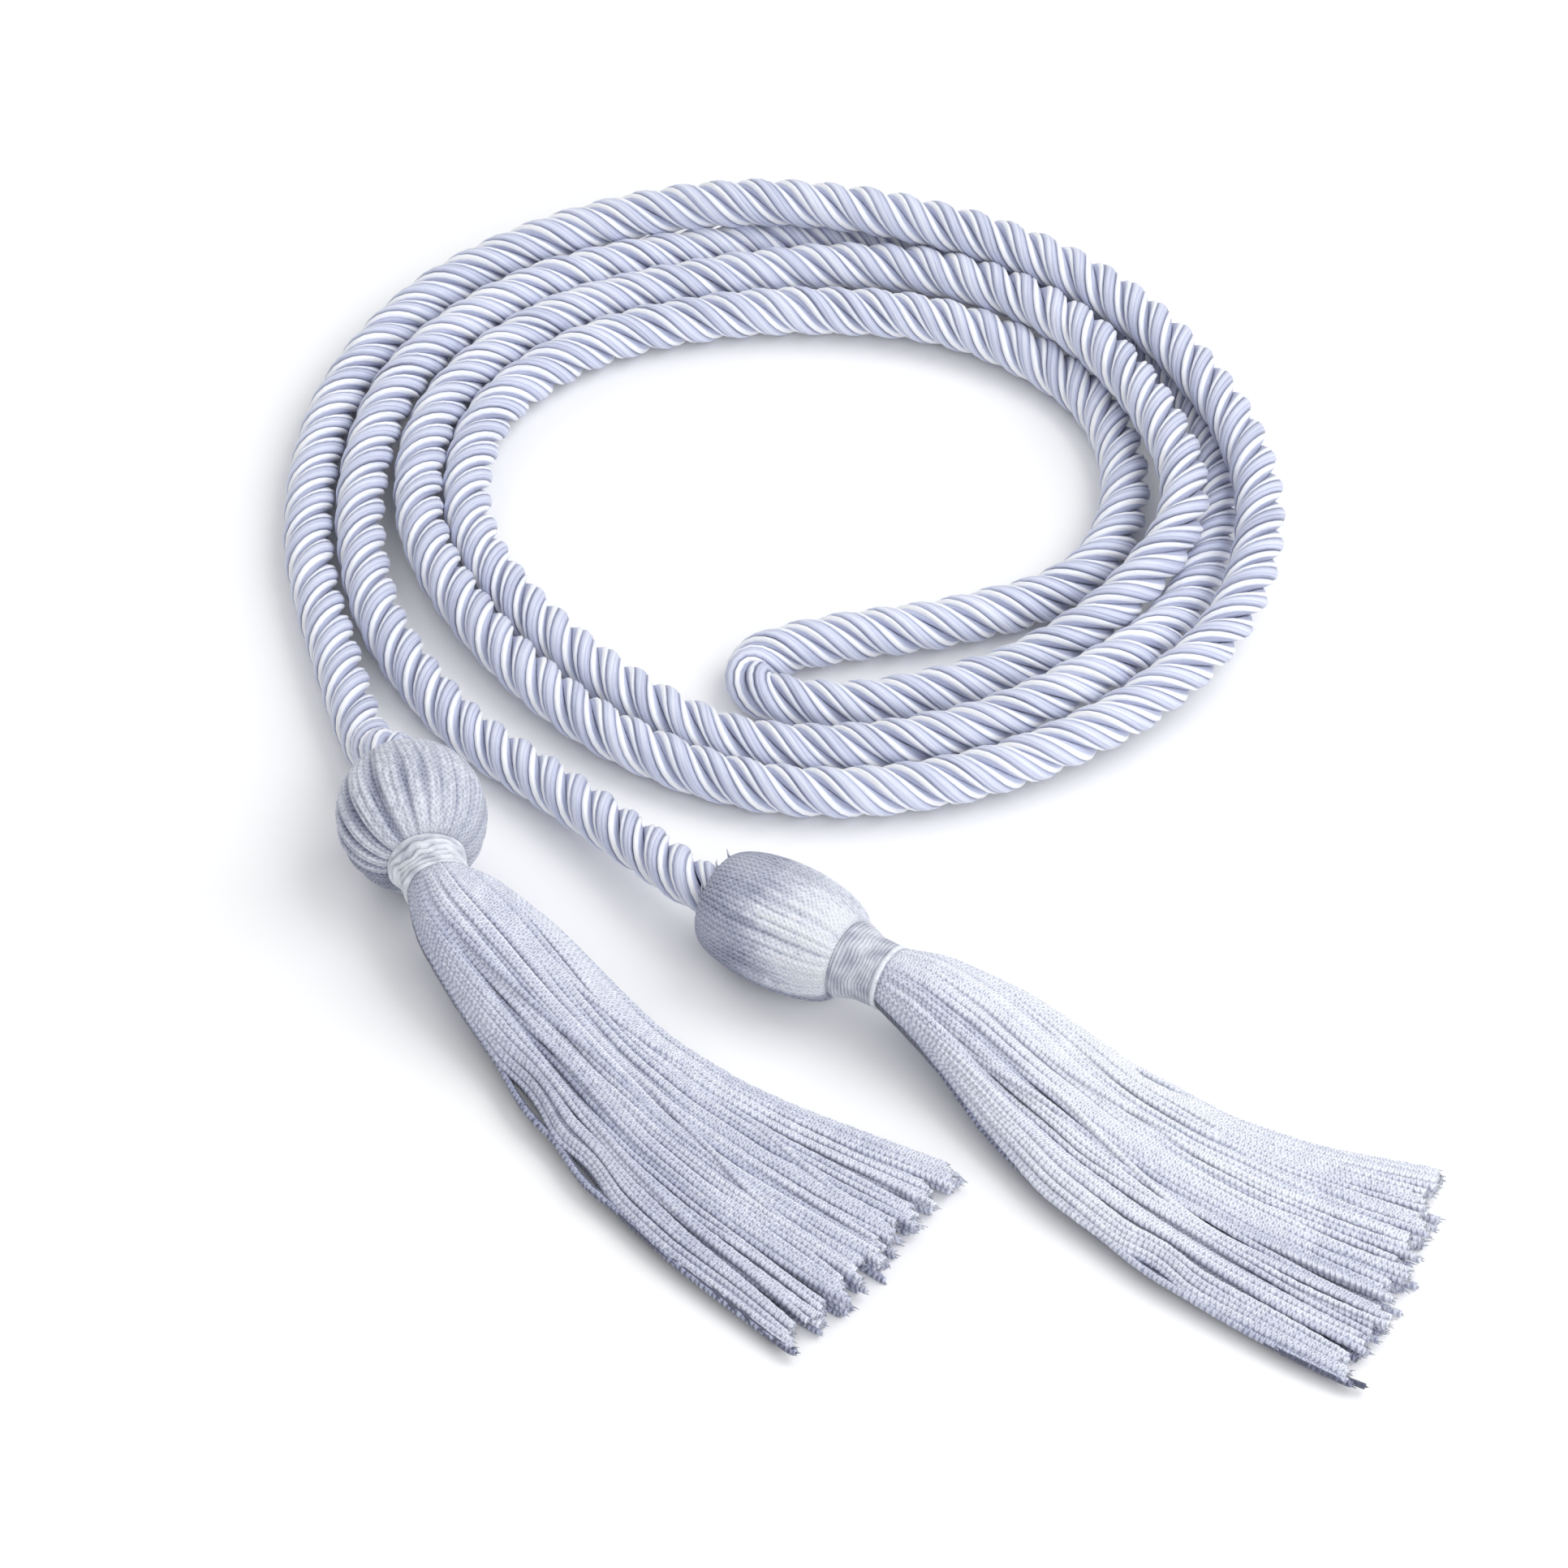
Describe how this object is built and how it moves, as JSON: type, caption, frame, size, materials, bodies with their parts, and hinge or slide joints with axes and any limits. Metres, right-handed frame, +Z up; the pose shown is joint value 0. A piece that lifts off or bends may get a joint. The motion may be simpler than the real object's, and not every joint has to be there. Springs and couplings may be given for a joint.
{
  "type": "honor cord",
  "caption": "Long twisted satin cord folded at its middle and coiled flat, with a bound yarn-covered head and a loose knitted-cord skirt as a tassel on each end",
  "frame": {"origin": "on the floor under the middle of the whole piece's bounding box", "axes": "Z up from the floor; Y along the piece's longer side, from the tassel ends towards the far side of the coil; X across it"},
  "size_m": [0.1711, 0.245, 0.0222],
  "materials": {
    "satin_rope": "satin",
    "yarn": "soft sheen",
    "skirt_cords": "soft sheen"
  },
  "bodies": {
    "root": {"rope": "satin_rope", "left_tassel_head": "yarn", "left_tassel_neck": "yarn", "left_tassel_skirt": "skirt_cords", "right_tassel_head": "yarn", "right_tassel_neck": "yarn", "right_tassel_skirt": "skirt_cords"}
  },
  "joints": []
}
